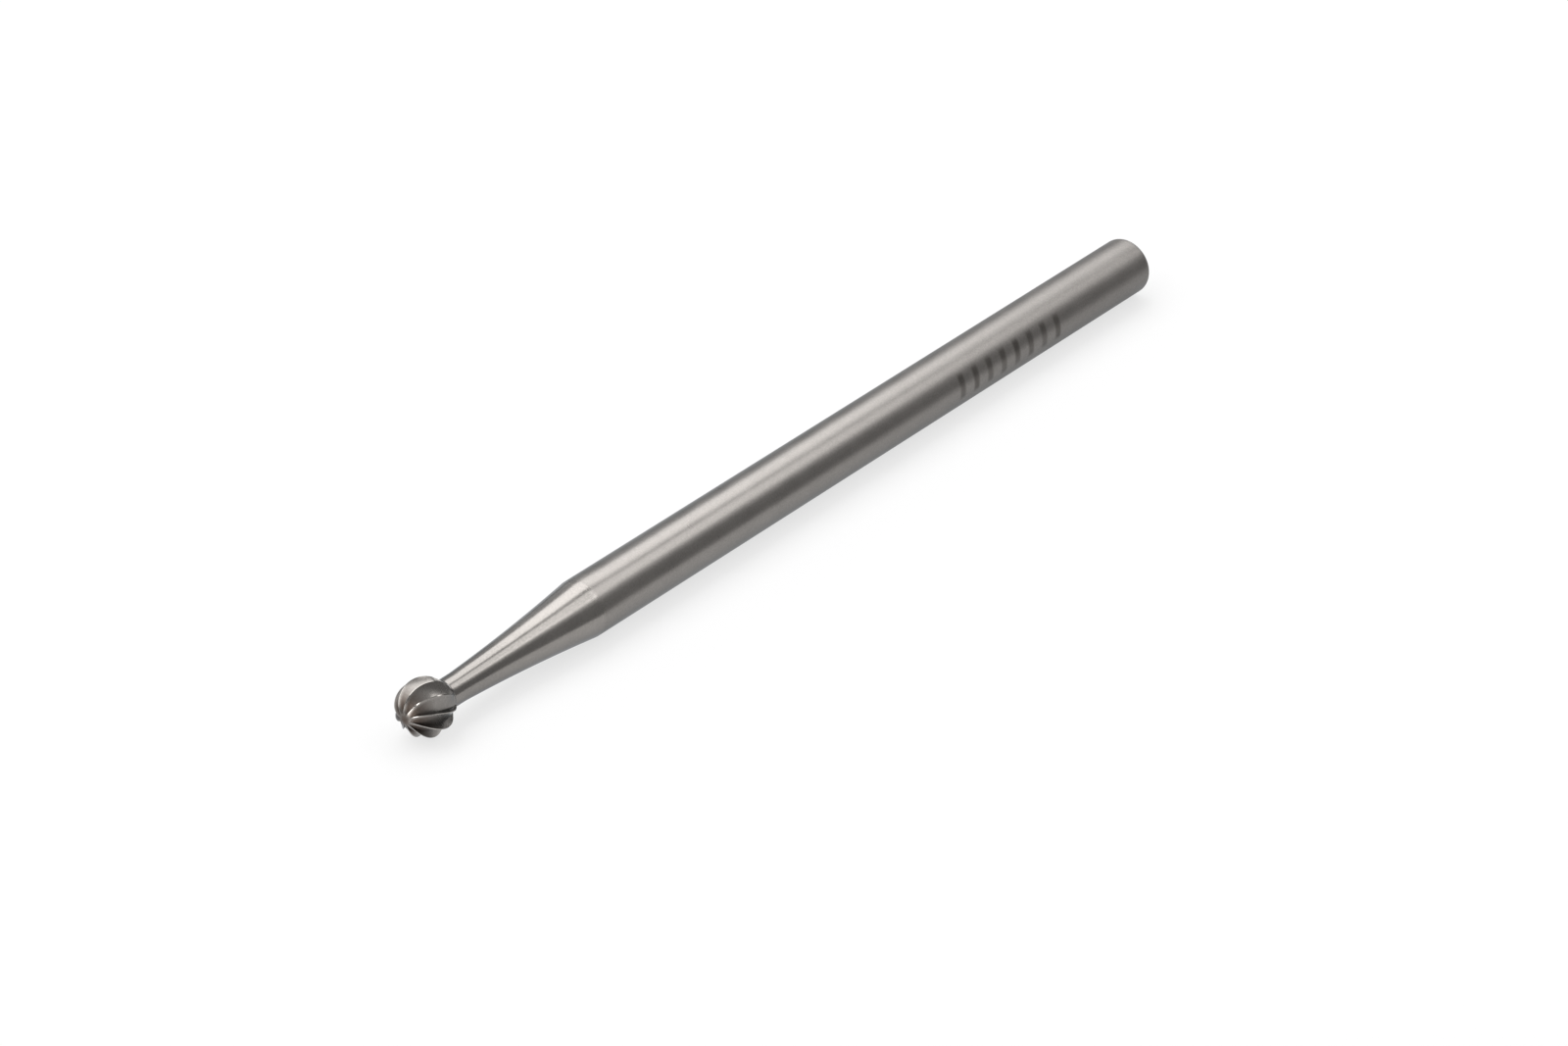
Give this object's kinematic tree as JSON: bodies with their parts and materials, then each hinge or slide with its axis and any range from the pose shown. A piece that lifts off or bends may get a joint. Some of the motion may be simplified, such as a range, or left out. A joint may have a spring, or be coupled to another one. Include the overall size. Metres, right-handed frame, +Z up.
{
  "type": "round bur",
  "caption": "Steel rotary cutter: a spiral-toothed ball on a slim neck that widens in a hollow taper to a straight handpiece shank.",
  "frame": {"origin": "on the bur's axis, at the shoulder where the cylindrical shank begins", "axes": "+X along the axis, from the cutting ball towards the end of the shank; the bur lies level, +Z up"},
  "size_m": [0.0445, 0.0024, 0.0024],
  "materials": {
    "ground_steel": "satin, centreless ground along the shank, turned on the taper, freshly ground in the flutes"
  },
  "bodies": {
    "root": {"round_bur": "ground_steel"}
  },
  "joints": []
}
